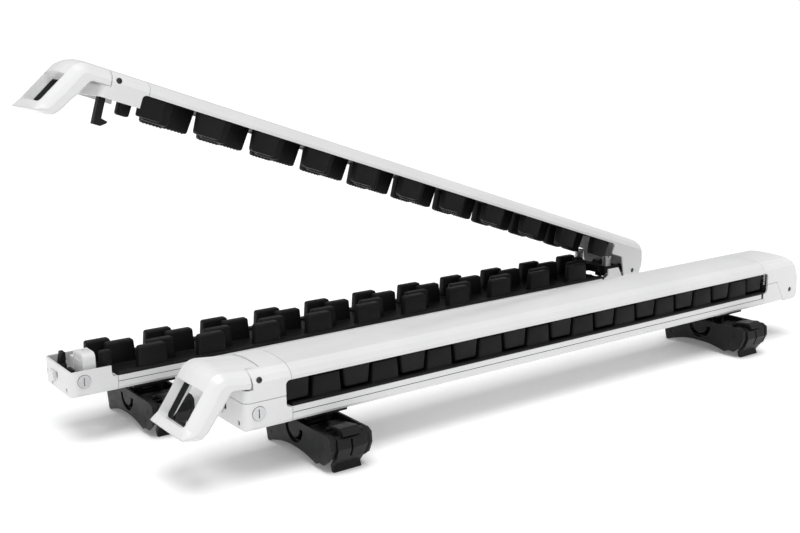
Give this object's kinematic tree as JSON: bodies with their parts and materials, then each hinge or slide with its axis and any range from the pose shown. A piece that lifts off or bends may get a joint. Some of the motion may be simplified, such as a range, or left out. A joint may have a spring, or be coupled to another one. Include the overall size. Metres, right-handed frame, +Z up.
{
  "type": "roof ski rack",
  "caption": "Pair of clamping bars for carrying skis on roof crossbars, with toothed rubber pads, hinged lids, latch handles and adjustable feet.",
  "frame": {"origin": "centre of the crossbar seat under the front bar's left foot", "axes": "+X along the bars from the handle end to the hinge end, +Y from the front bar towards the rear bar, +Z up"},
  "size_m": [1.1974, 0.4105, 0.4936],
  "materials": {
    "white_rail": "satin white powder coat",
    "white_shell": "satin",
    "rubber": "matt",
    "black_plastic": "fine grain",
    "plated": "nickel plated",
    "steel": "plain",
    "dark_steel": "blackened"
  },
  "bodies": {
    "front_base": {"front_base_rail": "white_rail", "front_base_latch_cap": "white_shell", "front_hinge_bracket": "white_shell", "front_lower_pad": "rubber", "front_latch_tower": "white_shell", "front_latch_catch": "black_plastic", "front_lift_posts": "plated", "front_lift_springs": "steel", "front_base_screws": "steel"},
    "front_lock": {"front_lock_barrel": "plated"},
    "front_button": {"front_release_button": "white_shell"},
    "front_link": {"front_hinge_link": "black_plastic", "front_hinge_pin": "dark_steel"},
    "front_lid": {"front_lid_rail": "white_rail", "front_lid_latch_cap": "white_shell", "front_lid_hinge_cap": "white_shell", "front_upper_pad": "rubber", "front_handle_pin": "steel"},
    "front_handle": {"front_handle": "white_shell"},
    "front_hook": {"front_latch_hook": "black_plastic"},
    "front_left_carriage": {"front_left_foot_carriage": "black_plastic"},
    "front_left_foot": {"front_left_foot_body": "black_plastic", "front_left_saddle_pad": "rubber"},
    "front_left_jaw": {"front_left_foot_jaw": "black_plastic"},
    "front_left_lever": {"front_left_foot_lever": "black_plastic"},
    "front_right_carriage": {"front_right_foot_carriage": "black_plastic"},
    "front_right_foot": {"front_right_foot_body": "black_plastic", "front_right_saddle_pad": "rubber"},
    "front_right_jaw": {"front_right_foot_jaw": "black_plastic"},
    "front_right_lever": {"front_right_foot_lever": "black_plastic"},
    "rear_base": {"rear_base_rail": "white_rail", "rear_base_latch_cap": "white_shell", "rear_hinge_bracket": "white_shell", "rear_lower_pad": "rubber", "rear_latch_tower": "white_shell", "rear_latch_catch": "black_plastic", "rear_lift_posts": "plated", "rear_lift_springs": "steel", "rear_base_screws": "steel"},
    "rear_lock": {"rear_lock_barrel": "plated"},
    "rear_button": {"rear_release_button": "white_shell"},
    "rear_link": {"rear_hinge_link": "black_plastic", "rear_hinge_pin": "dark_steel"},
    "rear_lid": {"rear_lid_rail": "white_rail", "rear_lid_latch_cap": "white_shell", "rear_lid_hinge_cap": "white_shell", "rear_upper_pad": "rubber", "rear_handle_pin": "steel"},
    "rear_handle": {"rear_handle": "white_shell"},
    "rear_hook": {"rear_latch_hook": "black_plastic"},
    "rear_left_carriage": {"rear_left_foot_carriage": "black_plastic"},
    "rear_left_foot": {"rear_left_foot_body": "black_plastic", "rear_left_saddle_pad": "rubber"},
    "rear_left_jaw": {"rear_left_foot_jaw": "black_plastic"},
    "rear_left_lever": {"rear_left_foot_lever": "black_plastic"},
    "rear_right_carriage": {"rear_right_foot_carriage": "black_plastic"},
    "rear_right_foot": {"rear_right_foot_body": "black_plastic", "rear_right_saddle_pad": "rubber"},
    "rear_right_jaw": {"rear_right_foot_jaw": "black_plastic"},
    "rear_right_lever": {"rear_right_foot_lever": "black_plastic"}
  },
  "joints": [
    {"name": "bar_spread", "type": "slide", "parent": "front_base", "child": "rear_base", "axis": [0, 1, 0], "range_m": [-0.04, 0.557]},
    {"name": "front_hinge_lift", "type": "slide", "parent": "front_base", "child": "front_link", "axis": [0, 0, 1], "range_m": [0, 0.014], "stiffness_N_per_m": 1500, "springref_m": -0.012, "deforming": ["front_lift_springs"]},
    {"name": "front_lid_hinge", "type": "hinge", "parent": "front_link", "child": "front_lid", "pos_m": [0.9107, 0, 0.073], "axis": [0, 1, 0], "range_deg": [0, 54]},
    {"name": "front_handle_pull", "type": "hinge", "parent": "front_lid", "child": "front_handle", "pos_m": [-0.102, 0, 0.1233], "axis": [0, 1, 0], "range_deg": [-6, 9], "stiffness_Nm_per_rad": 1.5, "springref_deg": 2.86},
    {"name": "front_hook_swing", "type": "hinge", "parent": "front_lid", "child": "front_hook", "pos_m": [-0.101, 0.001, 0.112], "axis": [0, 1, 0], "range_deg": [-4.9, 7.5]},
    {"name": "front_lock_turn", "type": "hinge", "parent": "front_base", "child": "front_lock", "pos_m": [-0.1045, -0.04, 0.076], "axis": [0, -1, 0], "range_deg": [0, 90]},
    {"name": "front_button_press", "type": "slide", "parent": "front_base", "child": "front_button", "axis": [1, 0, 0], "range_m": [0, 0.004], "stiffness_N_per_m": 400, "springref_m": -0.003},
    {"name": "front_left_foot_slide", "type": "slide", "parent": "front_base", "child": "front_left_carriage", "axis": [1, 0, 0], "range_m": [-0.025, 0.3]},
    {"name": "front_left_foot_rock", "type": "hinge", "parent": "front_left_carriage", "child": "front_left_foot", "pos_m": [0, 0, 0.0286], "axis": [1, 0, 0], "range_deg": [-5, 5]},
    {"name": "front_left_lever_lift", "type": "hinge", "parent": "front_left_foot", "child": "front_left_lever", "pos_m": [0, -0.056, 0.038], "axis": [-1, 0, 0], "range_deg": [0, 75]},
    {"name": "front_left_jaw_swing", "type": "hinge", "parent": "front_left_foot", "child": "front_left_jaw", "pos_m": [0, -0.071, 0.025], "axis": [-1, 0, 0], "range_deg": [0, 30.5]},
    {"name": "front_right_foot_slide", "type": "slide", "parent": "front_base", "child": "front_right_carriage", "axis": [1, 0, 0], "range_m": [-0.3, 0.03]},
    {"name": "front_right_foot_rock", "type": "hinge", "parent": "front_right_carriage", "child": "front_right_foot", "pos_m": [0.774, 0, 0.0286], "axis": [1, 0, 0], "range_deg": [-5, 5]},
    {"name": "front_right_lever_lift", "type": "hinge", "parent": "front_right_foot", "child": "front_right_lever", "pos_m": [0.774, -0.056, 0.038], "axis": [-1, 0, 0], "range_deg": [0, 75]},
    {"name": "front_right_jaw_swing", "type": "hinge", "parent": "front_right_foot", "child": "front_right_jaw", "pos_m": [0.774, -0.071, 0.025], "axis": [-1, 0, 0], "range_deg": [0, 30.5]},
    {"name": "rear_hinge_lift", "type": "slide", "parent": "rear_base", "child": "rear_link", "axis": [0, 0, 1], "range_m": [-0.007, 0.007], "stiffness_N_per_m": 6000, "springref_m": 0.0046, "deforming": ["rear_lift_springs"]},
    {"name": "rear_lid_hinge", "type": "hinge", "parent": "rear_link", "child": "rear_lid", "pos_m": [0.7887, 0.243, 0.08], "axis": [0, 1, 0], "range_deg": [-19.3, 34.7]},
    {"name": "rear_handle_pull", "type": "hinge", "parent": "rear_lid", "child": "rear_handle", "pos_m": [-0.15046, 0.243, 0.46219], "axis": [0, 1, 0], "range_deg": [0, 15], "stiffness_Nm_per_rad": 1.5, "springref_deg": -14.32},
    {"name": "rear_hook_swing", "type": "hinge", "parent": "rear_lid", "child": "rear_hook", "pos_m": [-0.15325, 0.244, 0.45119], "axis": [0, 1, 0], "range_deg": [0, 12.5]},
    {"name": "rear_lock_turn", "type": "hinge", "parent": "rear_base", "child": "rear_lock", "pos_m": [-0.2265, 0.203, 0.076], "axis": [0, -1, 0], "range_deg": [0, 90]},
    {"name": "rear_button_press", "type": "slide", "parent": "rear_base", "child": "rear_button", "axis": [1, 0, 0], "range_m": [0, 0.004], "stiffness_N_per_m": 400, "springref_m": -0.003},
    {"name": "rear_left_foot_slide", "type": "slide", "parent": "rear_base", "child": "rear_left_carriage", "axis": [1, 0, 0], "range_m": [-0.025, 0.3]},
    {"name": "rear_left_foot_rock", "type": "hinge", "parent": "rear_left_carriage", "child": "rear_left_foot", "pos_m": [-0.122, 0.243, 0.0286], "axis": [1, 0, 0], "range_deg": [-5, 5]},
    {"name": "rear_left_lever_lift", "type": "hinge", "parent": "rear_left_foot", "child": "rear_left_lever", "pos_m": [-0.122, 0.187, 0.038], "axis": [-1, 0, 0], "range_deg": [0, 75]},
    {"name": "rear_left_jaw_swing", "type": "hinge", "parent": "rear_left_foot", "child": "rear_left_jaw", "pos_m": [-0.122, 0.172, 0.025], "axis": [-1, 0, 0], "range_deg": [0, 30.5]},
    {"name": "rear_right_foot_slide", "type": "slide", "parent": "rear_base", "child": "rear_right_carriage", "axis": [1, 0, 0], "range_m": [-0.3, 0.03]},
    {"name": "rear_right_foot_rock", "type": "hinge", "parent": "rear_right_carriage", "child": "rear_right_foot", "pos_m": [0.652, 0.243, 0.0286], "axis": [1, 0, 0], "range_deg": [-5, 5]},
    {"name": "rear_right_lever_lift", "type": "hinge", "parent": "rear_right_foot", "child": "rear_right_lever", "pos_m": [0.652, 0.187, 0.038], "axis": [-1, 0, 0], "range_deg": [0, 75]},
    {"name": "rear_right_jaw_swing", "type": "hinge", "parent": "rear_right_foot", "child": "rear_right_jaw", "pos_m": [0.652, 0.172, 0.025], "axis": [-1, 0, 0], "range_deg": [0, 30.5]}
  ],
  "couplings": [
    {"joint": "front_hook_swing", "follows": "front_handle_pull", "ratio": 0.8},
    {"joint": "front_left_jaw_swing", "follows": "front_left_lever_lift", "ratio": 0.4},
    {"joint": "front_right_jaw_swing", "follows": "front_right_lever_lift", "ratio": 0.4},
    {"joint": "rear_hook_swing", "follows": "rear_handle_pull", "ratio": 0.8},
    {"joint": "rear_left_jaw_swing", "follows": "rear_left_lever_lift", "ratio": 0.4},
    {"joint": "rear_right_jaw_swing", "follows": "rear_right_lever_lift", "ratio": 0.4}
  ]
}
